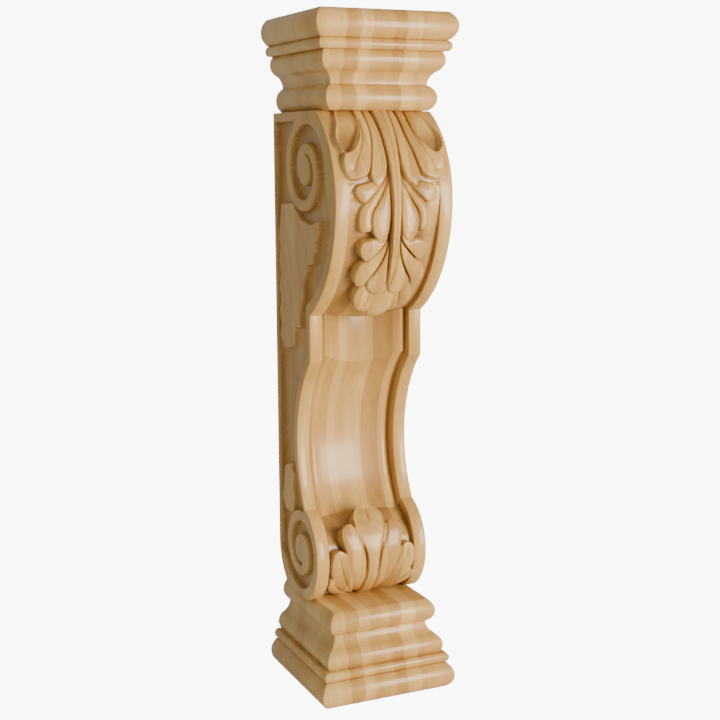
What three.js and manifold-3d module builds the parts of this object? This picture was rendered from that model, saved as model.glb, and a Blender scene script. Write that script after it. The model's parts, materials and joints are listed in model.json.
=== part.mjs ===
// Carved wooden corbel bracket: a scroll-shaped body between two moulded blocks.
// Millimetres, Z up. X runs across the front, the front faces -Y and the flat back lies on a wall.
// The origin is in the middle of the underside.
// Outlines are drawn side-on as (forward, height), forward being the distance from the wall.

import * as THREE from 'three';
import { mergeVertices } from 'three/addons/utils/BufferGeometryUtils.js';
import Module from 'manifold-3d';

const wasm = await Module();
wasm.setup();

// Overall sizes
const overallHeight = 914.4;
const blockHeight = 124.7;
const blockWidth = 199.6;
const blockDepth = 197.6;
const bodyWidth = 165.8;

// The carving was measured on a body 665 mm high, and the moulding on a block 124.7 mm high.
// Each grows and shrinks with its piece, and the tables below are in measured millimetres.
const unit = (overallHeight - 2 * blockHeight) / 665;
const mouldingUnit = blockHeight / 124.7;

// Scroll outline, seen from the side
const bulgeReach = 213.5 * unit;
const bulgeDrop = 114.7 * unit;
const upperBulgeRadius = 133.3 * unit;
const lowerBulgeRadius = 173 * unit;
const beltReach = 123 * unit;
const beltDrop = 328.7 * unit;
const hollowDrop = 449.7 * unit;
const hollowRadius = 171.4 * unit;
const footScrollRadius = 70.5 * unit;
const footScrollRise = 61.3 * unit;

// Front channel between the two rails
const railWidth = 18.4 * unit;
const panelRecess = 7 * unit;
const panelFadeStart = -25 * unit;
const panelFadeLength = 100 * unit;
const scoopRecess = 25 * unit;
const scoopHalfWidth = 47.5 * unit;
const scoopEdgeRecess = 10.8 * unit;
const beadCrestRecess = 9 * unit;
const beadFootRecess = 12 * unit;
const footPanelRecess = 14 * unit;
const footPanelEnd = -72;

// Side carving
const pocketDepth = 8 * unit;
const upperVoluteForward = 110 * unit;
const upperVoluteDrop = 75.7 * unit;
const lowerVoluteForward = 80 * unit;
const lowerVoluteRise = 67.3 * unit;
const flareDrop = 67 * unit;
const backRailWidth = 7 * unit;
const topStripHeight = 12.7 * unit;
const bulgeBorder = 16 * unit;
const beltBorder = 12 * unit;
const creaseBorder = 4 * unit;
const backRailEnd = 50.3 * unit;
const scallopDeep = 17 * unit;
const scallopShallow = 11 * unit;
const scallopPitch = 17.5 * unit;
const grooveSliver = 0.2;

// Leaf relief
const stemProud = 2 * unit;
const veinDepth = 2.2 * unit;
const leafRoot = 16 * unit;
const footLeafKey = 4 * unit;
const sideLeafSink = 1.5 * unit;
const stemHollow = 8 * unit;
const rootDip = 3 * unit;
const lobeTopInset = 0.93;
const lobeLook = 0.02;

// How finely curves are cut, and how far a cut runs past the wood
const arcStep = 9;
const borderStep = 6;
const spiralStep = 12;
const torusSteps = 10;
const beadSteps = 6;
const ogeeSteps = 7;
const coveSteps = 5;
const neckSteps = 9;
const scoopSteps = 4;
const discSteps = 72;
const heelSteps = 6;
const clear = 20;
const overcut = 1;
const weldDistance = 0.0001;

// Places worked out from those sizes
const bodyTop = overallHeight - blockHeight;
const bodyBottom = blockHeight;
const bodyHalf = bodyWidth / 2;
const channelHalf = bodyHalf - railWidth;
const radians = THREE.MathUtils.degToRad;
const degrees = THREE.MathUtils.radToDeg;
const halfTurn = 180;
const fullTurn = 360;

const bulgeHeight = bodyTop - bulgeDrop;
const upperBulge = {
  forward: bulgeReach - upperBulgeRadius,
  height: bulgeHeight,
  radius: upperBulgeRadius,
};
const lowerBulge = {
  forward: bulgeReach - lowerBulgeRadius,
  height: bulgeHeight,
  radius: lowerBulgeRadius,
};
const hollowHeight = bodyTop - hollowDrop;
const beltBottom = bodyTop - beltDrop;
const hollowSetOut = Math.sqrt(hollowRadius ** 2 - (beltBottom - hollowHeight) ** 2);
const hollow = { forward: beltReach + hollowSetOut, height: hollowHeight, radius: hollowRadius };
const footScroll = {
  forward: footScrollRadius,
  height: bodyBottom + footScrollRise,
  radius: footScrollRadius,
};

// Angle of a point about a circle's centre, in degrees, 0 forward and 90 up
function angleAbout(circle, point) {
  return degrees(Math.atan2(point[1] - circle.height, point[0] - circle.forward));
}

function pointOn(circle, angle, radius = circle.radius) {
  const turn = radians(angle);
  return [circle.forward + radius * Math.cos(turn), circle.height + radius * Math.sin(turn)];
}

// The upper of the two places where two circles meet
function meetingPoint(a, b) {
  const across = [b.forward - a.forward, b.height - a.height];
  const distance = Math.hypot(...across);
  const along = (a.radius ** 2 - b.radius ** 2 + distance ** 2) / (2 * distance);
  const side = Math.sqrt(a.radius ** 2 - along ** 2);
  const unit = [across[0] / distance, across[1] / distance];
  const middle = [a.forward + unit[0] * along, a.height + unit[1] * along];
  const first = [middle[0] - unit[1] * side, middle[1] + unit[0] * side];
  const second = [middle[0] + unit[1] * side, middle[1] - unit[0] * side];
  return first[1] > second[1] ? first : second;
}

const topLip = degrees(Math.asin(bulgeDrop / upperBulgeRadius));
const beltTopAngle = -degrees(Math.acos((beltReach - lowerBulge.forward) / lowerBulgeRadius));
const beltTop = pointOn(lowerBulge, beltTopAngle)[1];
const crease = meetingPoint(hollow, footScroll);
const hollowStart = angleAbout(hollow, [beltReach, beltBottom]);
const hollowEnd = angleAbout(hollow, crease) + fullTurn;
const footStart = angleAbout(footScroll, crease);
const footEnd = -degrees(Math.asin(footScrollRise / footScrollRadius));

// The front run is followed from the widest level of the bulge, downwards as positive
function arcLength(circle, sweep) {
  return circle.radius * radians(sweep);
}

const runTop = -arcLength(upperBulge, topLip);
const runBelt = arcLength(lowerBulge, -beltTopAngle);
const runHollow = runBelt + beltTop - beltBottom;
const runCrease = runHollow + arcLength(hollow, hollowEnd - hollowStart);
const runBottom = runCrease + arcLength(footScroll, footStart - footEnd);
const runFootCentre = runCrease + arcLength(footScroll, footStart);

// Place on the front run, raised by lift away from the wood
function frontPoint(run, lift = 0) {
  if (run < 0) {
    return pointOn(upperBulge, -degrees(run / upperBulgeRadius), upperBulgeRadius + lift);
  }
  if (run < runBelt) {
    return pointOn(lowerBulge, -degrees(run / lowerBulgeRadius), lowerBulgeRadius + lift);
  }
  if (run < runHollow) {
    return [beltReach + lift, beltTop - (run - runBelt)];
  }
  if (run < runCrease) {
    const angle = hollowStart + degrees((run - runHollow) / hollowRadius);
    return pointOn(hollow, angle, hollowRadius - lift);
  }
  const turned = degrees((run - runCrease) / footScrollRadius);
  return pointOn(footScroll, footStart - turned, footScrollRadius + lift);
}

function steps(from, to, count) {
  return Array.from({ length: count + 1 }, (unused, index) => from + ((to - from) * index) / count);
}

function stepsBySize(from, to, size) {
  return steps(from, to, Math.max(1, Math.round(Math.abs(to - from) / size)));
}

// Solids from closed meshes
function solidFrom(geometry) {
  const bare = geometry.clone();
  bare.deleteAttribute('normal');
  bare.deleteAttribute('uv');
  const welded = mergeVertices(bare, weldDistance);
  return new wasm.Manifold(new wasm.Mesh({
    numProp: 3,
    vertProperties: new Float32Array(welded.attributes.position.array),
    triVerts: new Uint32Array(welded.index.array),
  }));
}

function geometryFrom(solid) {
  const mesh = solid.getMesh();
  const geometry = new THREE.BufferGeometry();
  geometry.setAttribute('position', new THREE.BufferAttribute(new Float32Array(mesh.vertProperties), 3));
  geometry.setIndex(new THREE.BufferAttribute(new Uint32Array(mesh.triVerts), 1));
  return geometry;
}

function joined(solids) {
  return solids.reduce((whole, next) => whole.add(next));
}

// A side outline of (forward, height) points, drawn out from one X to another
function prism(outline, fromX, toX) {
  const shape = new THREE.Shape(outline.map((point) => new THREE.Vector2(point[0], point[1])));
  const geometry = new THREE.ExtrudeGeometry(shape, { depth: toX - fromX, bevelEnabled: false });
  const sideOn = new THREE.Matrix4().makeBasis(
    new THREE.Vector3(0, -1, 0),
    new THREE.Vector3(0, 0, 1),
    new THREE.Vector3(-1, 0, 0),
  );
  geometry.applyMatrix4(sideOn.setPosition(toX, 0, 0));
  return solidFrom(geometry);
}

// Signed volume tells which way round a closed mesh is wound
function signedVolume(points, faces) {
  return faces.reduce((sum, face) => {
    const [a, b, c] = face.map((index) => points[index]);
    return sum + a.dot(new THREE.Vector3().crossVectors(b, c)) / 6;
  }, 0);
}

// A closed skin over matching rings of points, with caps triangulated from a flat picture of the ring
function loft(rings, capPicture) {
  const size = rings[0].length;
  const points = rings.flat();
  const faces = [];
  for (let ring = 0; ring < rings.length - 1; ring += 1) {
    for (let index = 0; index < size; index += 1) {
      const next = (index + 1) % size;
      const near = ring * size;
      const far = near + size;
      faces.push([near + index, near + next, far + next], [near + index, far + next, far + index]);
    }
  }
  const flat = capPicture.map((point) => new THREE.Vector2(point[0], point[1]));
  const clockwise = THREE.ShapeUtils.isClockWise(flat);
  const cap = THREE.ShapeUtils.triangulateShape(flat, []);
  const last = (rings.length - 1) * size;
  for (const [a, b, c] of cap) {
    const front = clockwise ? [a, b, c] : [a, c, b];
    const back = clockwise ? [a, c, b] : [a, b, c];
    faces.push(front, back.map((index) => last + index));
  }
  const outward = signedVolume(points, faces) > 0 ? faces : faces.map(([a, b, c]) => [a, c, b]);
  const geometry = new THREE.BufferGeometry().setFromPoints(points);
  geometry.setIndex(outward.flat());
  return geometry;
}

// An arc through three points, without its first point
function arcThrough(start, middle, end, count) {
  const [bx, by] = [middle[0] - start[0], middle[1] - start[1]];
  const [cx, cy] = [end[0] - start[0], end[1] - start[1]];
  const turn = bx * cy - by * cx;
  const centreX = (cy * (bx * bx + by * by) - by * (cx * cx + cy * cy)) / (2 * turn);
  const centreY = (bx * (cx * cx + cy * cy) - cx * (bx * bx + by * by)) / (2 * turn);
  const radius = Math.hypot(centreX, centreY);
  const from = Math.atan2(-centreY, -centreX);
  const wholeCircle = 2 * Math.PI;
  const anticlockwise = (Math.atan2(cy - centreY, cx - centreX) - from + 2 * wholeCircle) % wholeCircle;
  const sweep = turn > 0 ? anticlockwise : anticlockwise - wholeCircle;
  return steps(0, 1, count).slice(1).map((share) => [
    start[0] + centreX + radius * Math.cos(from + sweep * share),
    start[1] + centreY + radius * Math.sin(from + sweep * share),
  ]);
}

// Moulding profile as (inset from the widest torus, height from the outer face): a big torus, a bead,
// an ogee and a small torus against the body
const torusFace = [-10, 0];
const torusWidest = [0, 17.8];
const torusJoin = [-9.5, 35.6];
const beadStart = [-11.5, 35.6];
const beadWidest = [-6.1, 43.1];
const beadEnd = [-9.5, 49.6];
const ogeeStart = [-16.5, 49.6];
const ogeeWidest = [-12.6, 62.1];
const ogeeTurn = [-23.1, 76.1];
const coveDeepest = [-28.8, 83.2];
const coveEnd = [-31, 91.7];
const neckWidest = [-20.7, 108.5];
const neckEnd = [-29.7, 124.7];

const mouldingProfile = [
  torusFace,
  ...arcThrough(torusFace, torusWidest, torusJoin, torusSteps),
  beadStart,
  ...arcThrough(beadStart, beadWidest, beadEnd, beadSteps),
  ogeeStart,
  ...arcThrough(ogeeStart, ogeeWidest, ogeeTurn, ogeeSteps),
  ...arcThrough(ogeeTurn, coveDeepest, coveEnd, coveSteps),
  ...arcThrough(coveEnd, neckWidest, neckEnd, neckSteps),
].map((point) => point.map((size) => size * mouldingUnit));

// The profile mitred round the front and both sides, cut off flat at the wall
function mouldedBlock(heightOf) {
  const rings = mouldingProfile.map(([inset, rise]) => {
    const half = blockWidth / 2 + inset;
    const front = -(blockDepth + inset);
    const corners = [[-half, 0], [half, 0], [half, front], [-half, front]];
    return corners.map(([x, y]) => new THREE.Vector3(x, y, heightOf(rise)));
  });
  return loft(rings, [[0, 0], [1, 0], [1, 1], [0, 1]]);
}

// Side outline of the body, from the wall at the top round the front to the wall at the bottom
function bodyOutline() {
  const heel = -halfTurn - footEnd;
  return [
    [0, bodyTop],
    ...stepsBySize(runTop, 0, arcStep).map((run) => frontPoint(run)),
    ...stepsBySize(0, runBelt, arcStep).slice(1).map((run) => frontPoint(run)),
    ...stepsBySize(runHollow, runCrease, arcStep).map((run) => frontPoint(run)),
    ...stepsBySize(runCrease, runBottom, arcStep).slice(1).map((run) => frontPoint(run)),
    ...steps(heel, -halfTurn, heelSteps).map((angle) => pointOn(footScroll, angle)),
  ];
}

// Depth of the plain panel behind the rails on the bulge
function recessAt(run) {
  const share = THREE.MathUtils.clamp((run - panelFadeStart) / panelFadeLength, 0, 1);
  return panelRecess * Math.sin(share * Math.PI / 2);
}

// Place on the bulge past the belt too, where the panel runs on under the belly
function panelPoint(run, lift) {
  const circle = run < 0 ? upperBulge : lowerBulge;
  return pointOn(circle, -degrees(run / circle.radius), circle.radius + lift);
}

// What is cut away between the rails on the bulge
function bulgeChannel() {
  const runs = stepsBySize(panelFadeStart, runBelt + clear, arcStep);
  const outside = bulgeReach + clear;
  const floor = runs.map((run) => panelPoint(run, -recessAt(run)));
  const start = frontPoint(panelFadeStart, clear);
  const corners = [[outside, floor[floor.length - 1][1]], [outside, start[1]], start];
  return prism([...floor, ...corners], -channelHalf, channelHalf);
}

// Section of the belt and the hollow below it: a bead beside each rail and a wide scoop
const beadRise = 1 * unit;
const beadCrest = (channelHalf + scoopHalfWidth) / 2;
const beadFlank = (channelHalf - scoopHalfWidth) / 4;
const halfSection = [
  [channelHalf, beadFootRecess],
  [beadCrest + beadFlank, beadCrestRecess + beadRise],
  [beadCrest, beadCrestRecess],
  [beadCrest - beadFlank, beadCrestRecess + beadRise],
  ...steps(1, 0, scoopSteps).slice(0, -1).map((share) => [
    scoopHalfWidth * share,
    scoopEdgeRecess + (scoopRecess - scoopEdgeRecess) * (1 - share * share),
  ]),
];
const scoopSection = [
  [channelHalf, -clear],
  ...halfSection,
  [0, scoopRecess],
  ...halfSection.map(([x, recess]) => [-x, recess]).reverse(),
  [-channelHalf, -clear],
];

function scoopCut() {
  const runs = [runBelt - clear, ...stepsBySize(runHollow, runCrease + clear, 2 * arcStep)];
  const rings = runs.map((run) => {
    const belt = [beltReach, beltTop - (run - runBelt)];
    const turn = hollowStart + degrees((run - runHollow) / hollowRadius);
    const [forward, height] = run <= runHollow ? belt : pointOn(hollow, turn);
    return scoopSection.map(([x, recess]) => new THREE.Vector3(x, recess - forward, height));
  });
  return solidFrom(loft(rings, scoopSection));
}

// A full disc, standing for wood that a cut leaves alone
function disc(circle, radius) {
  const around = steps(0, fullTurn, discSteps).slice(0, -1).map((angle) => pointOn(circle, angle, radius));
  return prism(around, -channelHalf - overcut, channelHalf + overcut);
}

// What is cut away between the rails round the foot scroll
function footChannel() {
  const angles = stepsBySize(footStart, footPanelEnd, arcStep);
  const floor = angles.map((angle) => pointOn(footScroll, angle, footScrollRadius - footPanelRecess));
  const outside = 2 * footScrollRadius + clear;
  const start = pointOn(footScroll, footStart, footScrollRadius + clear);
  const below = bodyBottom - clear;
  const corners = [[floor[floor.length - 1][0], below], [outside, below], [outside, start[1]], start];
  return prism([...floor, ...corners], -channelHalf, channelHalf);
}

// Spiral grooves of the two volutes, in degrees turned clockwise from the top of the volute.
// outer is the radius of the groove's outer wall, and the groove narrows to nothing beside the eye.
const upperVolute = {
  forward: upperVoluteForward,
  height: bodyTop - upperVoluteDrop,
  eye: 20 * unit,
  groove: 25 * unit,
  start: 9,
  end: 469,
  frontTurn: 460,
  stripTurn: 693,
  outer: (turn) => (19 + (turn * 40) / fullTurn) * unit,
};
const lowerVolute = {
  forward: lowerVoluteForward,
  height: bodyBottom + lowerVoluteRise,
  eye: 19.5 * unit,
  groove: 18.5 * unit,
  start: 165,
  end: 606,
  backTurn: 600,
  creaseTurn: 732,
  outer: (turn) => (24 + ((turn - halfTurn) * 33) / fullTurn) * unit,
};
const flareHeight = upperVolute.height - flareDrop;

function turned(volute, turn, radius) {
  const angle = radians(turn);
  return [volute.forward + radius * Math.sin(angle), volute.height + radius * Math.cos(angle)];
}

function grooveInner(volute, turn) {
  const outer = volute.outer(turn);
  return Math.min(outer, Math.max(volute.eye, outer - volute.groove));
}

function spiralGroove(volute) {
  const inner = stepsBySize(volute.start, volute.end, spiralStep)
    .map((turn) => turned(volute, turn, grooveInner(volute, turn) - grooveSliver));
  const outer = stepsBySize(volute.start, volute.end, spiralStep)
    .map((turn) => turned(volute, turn, volute.outer(turn)));
  return [...inner, ...outer.reverse()];
}

// The plain sunk field of a side: from the top strip past the upper volute, behind the front border,
// and down the back of the lower volute
function sideField() {
  const stripEdge = bodyTop - topStripHeight;
  const borderArc = { ...lowerBulge, radius: lowerBulgeRadius - bulgeBorder };
  const borderStart = degrees(Math.asin((flareHeight - lowerBulge.height) / borderArc.radius));
  const borderForward = beltReach - beltBorder;
  const borderEnd = -degrees(Math.acos((borderForward - lowerBulge.forward) / borderArc.radius));
  const hollowBorder = (angle) => {
    const share = THREE.MathUtils.clamp((angle - halfTurn) / (hollowEnd - halfTurn), 0, 1);
    return beltBorder + (creaseBorder - beltBorder) * share;
  };
  const ridge = (volute, from, to) => stepsBySize(from, to, spiralStep)
    .map((turn) => turned(volute, turn, grooveInner(volute, turn)));
  return [
    [backRailWidth, stripEdge],
    ...ridge(upperVolute, upperVolute.stripTurn, upperVolute.frontTurn),
    turned(upperVolute, upperVolute.frontTurn, upperVolute.outer(upperVolute.frontTurn)),
    ...stepsBySize(borderStart, borderEnd, borderStep).map((angle) => pointOn(borderArc, angle)),
    ...stepsBySize(hollowStart, hollowEnd - overcut, borderStep)
      .map((angle) => pointOn(hollow, angle, hollowRadius + hollowBorder(angle))),
    ...ridge(lowerVolute, lowerVolute.creaseTurn, lowerVolute.backTurn),
    turned(lowerVolute, lowerVolute.backTurn, lowerVolute.outer(lowerVolute.backTurn)),
    [backRailWidth, bodyBottom + backRailEnd],
  ];
}

// Front edges of the leaves left standing in the sunk field, as (forward, distance down from the
// body's top). Their back edges are scallops along the wall side.
const sideLeafUpper = [
  [22, 122], [66, 119], [94, 140], [126, 146], [157, 139], [158, 157], [148, 167], [146, 182],
  [138, 184], [136, 198], [118, 200], [113, 211], [101, 226], [102, 244], [93, 259], [86, 271],
  [89, 288], [69, 288], [63, 316], [30, 324],
];
const sideLeafLower = [
  [22, 490], [41, 483], [56, 479], [50, 489], [58, 495], [53, 518], [59, 528], [52, 554], [25, 555],
];

function leafOutline(measuredEdge) {
  const frontEdge = measuredEdge.map((point) => point.map((size) => size * unit));
  const top = frontEdge[0][1] + scallopPitch;
  const bottom = frontEdge[frontEdge.length - 1][1] - scallopPitch;
  const scallops = stepsBySize(bottom, top, scallopPitch)
    .map((drop, index) => [index % 2 === 0 ? scallopShallow : scallopDeep, drop]);
  return [...frontEdge, ...scallops].map(([forward, drop]) => [forward, bodyTop - drop]);
}

// What is cut away from one side, -1 for the left and 1 for the right
function sidePocket(side) {
  const cut = (outline, near, far) => {
    const [from, to] = [near, far].map((depth) => side * (bodyHalf - depth)).sort((a, b) => a - b);
    return prism(outline, from, to);
  };
  const sunk = joined([sideField(), spiralGroove(upperVolute), spiralGroove(lowerVolute)]
    .map((outline) => cut(outline, -overcut, pocketDepth)));
  const leaves = joined([sideLeafUpper, sideLeafLower]
    .map((frontEdge) => cut(leafOutline(frontEdge), sideLeafSink, pocketDepth + overcut)));
  return sunk.subtract(leaves);
}

// How a lobe widens along its length, as (share of length, share of half width)
const lobeOutline = [[0, 0.75], [0.25, 0.8], [0.45, 0.9], [0.62, 1], [0.78, 0.98], [0.92, 0.76], [1, 0.35]];
const slimOutline = [[0, 0.5], [0.2, 0.62], [0.4, 0.8], [0.6, 0.97], [0.75, 1], [0.9, 0.8], [1, 0.35]];
const broadOutline = [
  [0, 0.35], [0.3, 0.36], [0.5, 0.45], [0.65, 0.7], [0.8, 0.97], [0.88, 1], [0.96, 0.75], [1, 0.35],
];
const lobeSection = [[-1, 0], [-1, 1], [0, 0.8], [1, 1], [1, 0]];

function alongBend({ root, bend, tip }, share) {
  const weights = [(1 - share) ** 2, 2 * share * (1 - share), share ** 2];
  return [root, bend, tip].reduce(
    (sum, [x, run], index) => sum.addScaledVector(new THREE.Vector2(x, run), weights[index] * unit),
    new THREE.Vector2(),
  );
}

// One lobe of carved leaf, from its root under the stem to its rounded tip
function lobe(row, side, place, outline) {
  const rings = outline.map(([share, widthShare]) => {
    const centre = alongBend(row, share);
    const ahead = alongBend(row, share + lobeLook).sub(alongBend(row, share - lobeLook)).normalize();
    const across = new THREE.Vector2(-ahead.y, ahead.x).multiplyScalar(row.half * widthShare * unit);
    return lobeSection.map(([where, top]) => {
      const inset = top > 0 ? lobeTopInset : 1;
      const spot = centre.clone().addScaledVector(across, where * inset);
      const vein = where === 0 ? veinDepth * Math.sin(share * Math.PI) : 0;
      const dip = rootDip * (1 - share);
      return place(side * spot.x, spot.y, top > 0, vein + dip);
    });
  });
  return solidFrom(loft(rings, lobeSection));
}

// How the leaves rise from the wood along the front, as (distance along, rise in the middle, rise at
// the rails). Both rises are measured outwards from the rails.
const bulgeRelief = [
  [-140, 9, 4], [-100, 8, 8], [-66, 6, 9], [-40, 5, 3], [-10, 5, 2], [25, 6.5, 1], [60, 10, 2],
  [90, 13, 4], [120, 14.5, 7], [145, 15.5, 13], [190, 12, 12],
];
const footRelief = [
  [-80, 4, 1], [-30, 8, 5], [15, 10, 9], [45, 10, 10], [75, 8, 10],
];

// The row of a table at a place between its entries
function rowAt(table, place) {
  const found = table.findIndex(([start]) => start >= place);
  const after = found < 0 ? table.length - 1 : Math.max(found, 1);
  const [low, high] = [table[after - 1], table[after]];
  const share = THREE.MathUtils.clamp((place - low[0]) / (high[0] - low[0]), 0, 1);
  return low.map((value, index) => THREE.MathUtils.lerp(value, high[index], share));
}

function riseAt(relief, x, along) {
  const [, middle, edge] = rowAt(relief, along / unit);
  return (middle + (edge - middle) * (x / channelHalf) ** 2) * unit;
}

function onBulge(x, run, isTop, lower) {
  const lift = isTop ? riseAt(bulgeRelief, x, run) - lower : -leafRoot;
  const [forward, height] = panelPoint(run, lift);
  return new THREE.Vector3(x, -forward, height);
}

function onFoot(x, climb, isTop, lower) {
  const buried = -footPanelRecess - footLeafKey;
  const lift = isTop ? riseAt(footRelief, x, climb) - lower : buried;
  const angle = degrees(climb / footScrollRadius);
  const [forward, height] = pointOn(footScroll, angle, footScrollRadius + lift);
  return new THREE.Vector3(x, -forward, height);
}

// Acanthus leaf on the bulge, one side, as (across, distance down the front from the widest level)
const bulgeLobes = [
  { root: [44, -140], bend: [45, -100], tip: [59, -66], half: 14 },
  { root: [26, -120], bend: [34, -75], tip: [58, -36], half: 15 },
  { root: [15, -110], bend: [20, -70], tip: [23, -27], half: 12 },
  { root: [10, -50], bend: [26, -25], tip: [49, -9], half: 12 },
  { root: [9, -30], bend: [24, 0], tip: [43, 32], half: 14 },
  { root: [8, -20], bend: [13, 15], tip: [17, 49], half: 12 },
  { root: [7, 20], bend: [24, 42], tip: [46, 62], half: 13 },
  { root: [7, 40], bend: [22, 72], tip: [40, 107], half: 16 },
  { root: [5, 50], bend: [9, 88], tip: [14, 121], half: 12 },
  { root: [12, 90], bend: [27, 118], tip: [31, 147], half: 17 },
];
const middlePetal = { root: [0, 100], bend: [0, 135], tip: [0, 169], half: 18 };

// Palmette on the foot scroll, one side, as (across, distance up the scroll from its centre's level)
const footLobes = [
  { root: [7, -45], bend: [26, 2], tip: [36, 47], half: 14 },
  { root: [9, -62], bend: [34, -35], tip: [57, 12], half: 14 },
  { root: [14, -78], bend: [40, -62], tip: [62, -28], half: 11 },
];
const footMiddleLobe = { root: [0, -78], bend: [0, 0], tip: [0, 74], half: 24 };

// Stem of the leaf on the bulge, as (distance down the front, half width)
const stemWidths = [
  [-140, 12.5], [-110, 10.5], [-80, 9], [-50, 7.5], [-20, 7], [10, 6.2], [40, 6], [70, 5.5], [90, 4.5],
  [108, 3],
];
const stemSection = [[-1, 0], [-1, 0.75], [-0.5, 1], [0, 0.8], [0.5, 1], [1, 0.75], [1, 0]];

function stem() {
  const rings = stemWidths.map(([run, half]) => stemSection.map(([where, top]) => {
    const crown = riseAt(bulgeRelief, 0, run * unit) + stemProud;
    const lift = top > 0 ? crown - (1 - top) * stemHollow : -leafRoot;
    const [forward, height] = panelPoint(run * unit, lift);
    return new THREE.Vector3(where * half * unit, -forward, height);
  }));
  return solidFrom(loft(rings, stemSection));
}

// Everything raised is trimmed to the body's top, bottom and sides
function envelope() {
  const box = new THREE.BoxGeometry(bodyWidth, 2 * (bulgeReach + clear), bodyTop - bodyBottom);
  box.translate(0, -(bulgeReach + clear), (bodyTop + bodyBottom) / 2);
  return solidFrom(box);
}

function raisedLeaves() {
  const sides = [-1, 1];
  const pairs = sides.flatMap((side) => [
    ...bulgeLobes.map((row) => lobe(row, side, onBulge, lobeOutline)),
    ...footLobes.map((row) => lobe(row, side, onFoot, slimOutline)),
  ]);
  return joined([
    ...pairs,
    lobe(middlePetal, 1, onBulge, lobeOutline),
    lobe(footMiddleLobe, 1, onFoot, broadOutline),
    stem(),
  ]).intersect(envelope());
}

function scrollBody() {
  const blank = prism(bodyOutline(), -bodyHalf, bodyHalf);
  const scoop = scoopCut()
    .subtract(disc(lowerBulge, lowerBulgeRadius - panelRecess))
    .subtract(disc(footScroll, footScrollRadius - footPanelRecess));
  const carved = [bulgeChannel(), scoop, footChannel(), sidePocket(-1), sidePocket(1)]
    .reduce((wood, cut) => wood.subtract(cut), blank);
  return geometryFrom(carved.add(raisedLeaves()));
}

// Colours of the three pieces, one clear-finished timber
const blockColour = 0xd9b27c;
const bodyColour = 0xd2a873;

function timber(colour) {
  return new THREE.MeshStandardMaterial({ color: colour, roughness: 0.42, metalness: 0 });
}

const capMoulding = new THREE.Mesh(mouldedBlock((rise) => overallHeight - rise), timber(blockColour));
capMoulding.name = 'cap_moulding';
const body = new THREE.Mesh(scrollBody(), timber(bodyColour));
body.name = 'scroll_body';
const baseMoulding = new THREE.Mesh(mouldedBlock((rise) => rise), timber(blockColour));
baseMoulding.name = 'base_moulding';

// The pieces are drawn from the wall outwards, then centred over the origin
const corbel = new THREE.Group();
corbel.add(capMoulding, body, baseMoulding);
const reach = new THREE.Box3().setFromObject(corbel);
corbel.position.y = -(reach.min.y + reach.max.y) / 2;
corbel.updateMatrixWorld(true);

export default corbel;
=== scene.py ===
# %% [markdown]
# # A carved wooden corbel bracket
# A corbel stands against a wall and carries a shelf. This one is three pieces of light timber: a
# moulded cap, a long scroll-shaped body with an acanthus leaf, and the same moulding turned over as a
# base. The solids of the part are loaded as a fixed frame in metres: X across the front, the front
# facing -Y, Z up. Each cell below makes one thing, and most print what they made.

# %% Load the frame
import json
import math

import bpy
import numpy as np
from mathutils import Matrix, Vector

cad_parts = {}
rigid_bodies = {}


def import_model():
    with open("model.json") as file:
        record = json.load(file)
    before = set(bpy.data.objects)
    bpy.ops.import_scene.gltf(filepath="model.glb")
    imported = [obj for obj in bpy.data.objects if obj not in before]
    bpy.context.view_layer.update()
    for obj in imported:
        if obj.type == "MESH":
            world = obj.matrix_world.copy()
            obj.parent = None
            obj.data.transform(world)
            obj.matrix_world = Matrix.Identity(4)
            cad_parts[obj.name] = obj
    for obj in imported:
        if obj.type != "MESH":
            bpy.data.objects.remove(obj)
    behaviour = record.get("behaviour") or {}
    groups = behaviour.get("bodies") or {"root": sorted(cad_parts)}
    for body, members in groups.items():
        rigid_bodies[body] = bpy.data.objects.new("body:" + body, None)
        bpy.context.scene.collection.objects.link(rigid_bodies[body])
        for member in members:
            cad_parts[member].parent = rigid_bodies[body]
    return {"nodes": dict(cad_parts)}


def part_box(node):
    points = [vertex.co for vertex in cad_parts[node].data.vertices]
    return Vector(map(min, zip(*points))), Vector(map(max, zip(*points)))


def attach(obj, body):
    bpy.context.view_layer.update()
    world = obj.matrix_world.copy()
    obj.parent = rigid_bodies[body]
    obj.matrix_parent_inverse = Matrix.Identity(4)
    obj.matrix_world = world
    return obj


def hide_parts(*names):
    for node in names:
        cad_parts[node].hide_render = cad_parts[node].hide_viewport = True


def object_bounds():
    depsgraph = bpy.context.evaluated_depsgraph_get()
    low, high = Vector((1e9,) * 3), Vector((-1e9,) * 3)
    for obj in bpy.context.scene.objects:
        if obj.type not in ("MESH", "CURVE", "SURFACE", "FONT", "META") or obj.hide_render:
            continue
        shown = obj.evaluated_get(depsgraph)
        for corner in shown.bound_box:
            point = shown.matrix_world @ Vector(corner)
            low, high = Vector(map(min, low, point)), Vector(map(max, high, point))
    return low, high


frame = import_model()
cad_low, cad_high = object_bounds()
MM = 0.001
wall_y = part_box("scroll_body")[1].y
total_height = cad_high.z
body_low, body_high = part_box("scroll_body")
print("object", [round(v, 4) for v in (cad_high - cad_low)])

# %% [markdown]
# ## The camera
# The photograph was taken from the left, a little above the middle, with a long lens. The place and
# the angles were fitted to the corners of the mouldings, whose sizes the solids give. The place is
# measured from the wall, and the length of the lens in pixels of the square picture.

# %% Camera
camera_data = bpy.data.cameras.new("camera")
camera = bpy.data.objects.new("camera", camera_data)
bpy.context.scene.collection.objects.link(camera)
bpy.context.scene.camera = camera

FRAME_PIXELS = 720
FOCAL_PIXELS = 1305.56
camera_back = Vector((-0.73044, -1.71040, 0.74299))
camera_yaw, camera_pitch, camera_roll = 0.426273, 0.161498, -0.005247

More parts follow.
